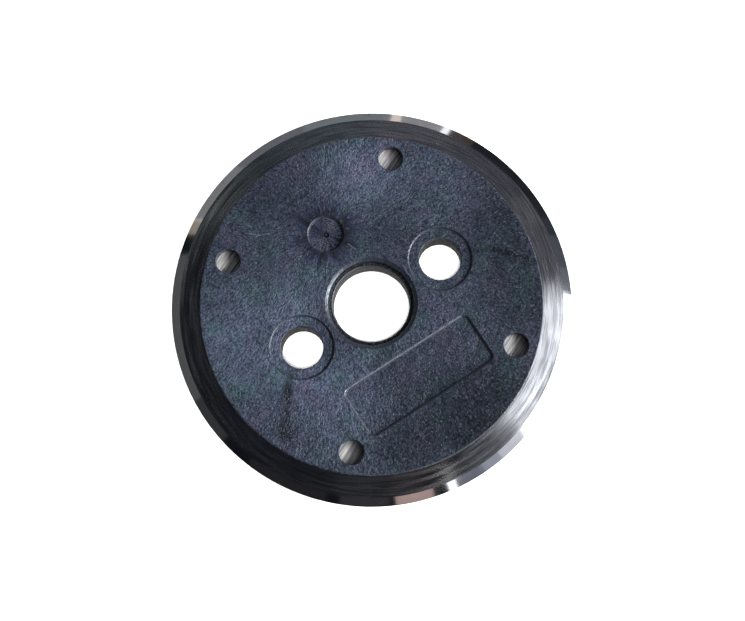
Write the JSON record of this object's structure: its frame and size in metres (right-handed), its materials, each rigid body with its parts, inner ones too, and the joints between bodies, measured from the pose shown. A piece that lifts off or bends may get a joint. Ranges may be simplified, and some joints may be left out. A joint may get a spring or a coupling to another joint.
{
  "type": "fiber cleaver blade",
  "caption": "Thin round hard-metal scoring blade with a ground V edge, held in a moulded plastic hub with a centre bore, screw holes and a blank marking panel.",
  "frame": {"origin": "on the bore axis, in the plane of the cutting edge, which is the centre of the bounding box", "axes": "+Z along the bore, out of the face with the marking panel; +X through the two screw holes; +Y from the panel towards the gate dimple"},
  "size_m": [0.02, 0.02, 0.0016],
  "materials": {
    "hard_metal": "ground, with a polished cutting edge",
    "filled_plastic": "moulded, glass-fibre filled, satin"
  },
  "bodies": {
    "root": {"cutting_ring": "hard_metal", "moulded_hub": "filled_plastic"}
  },
  "joints": []
}
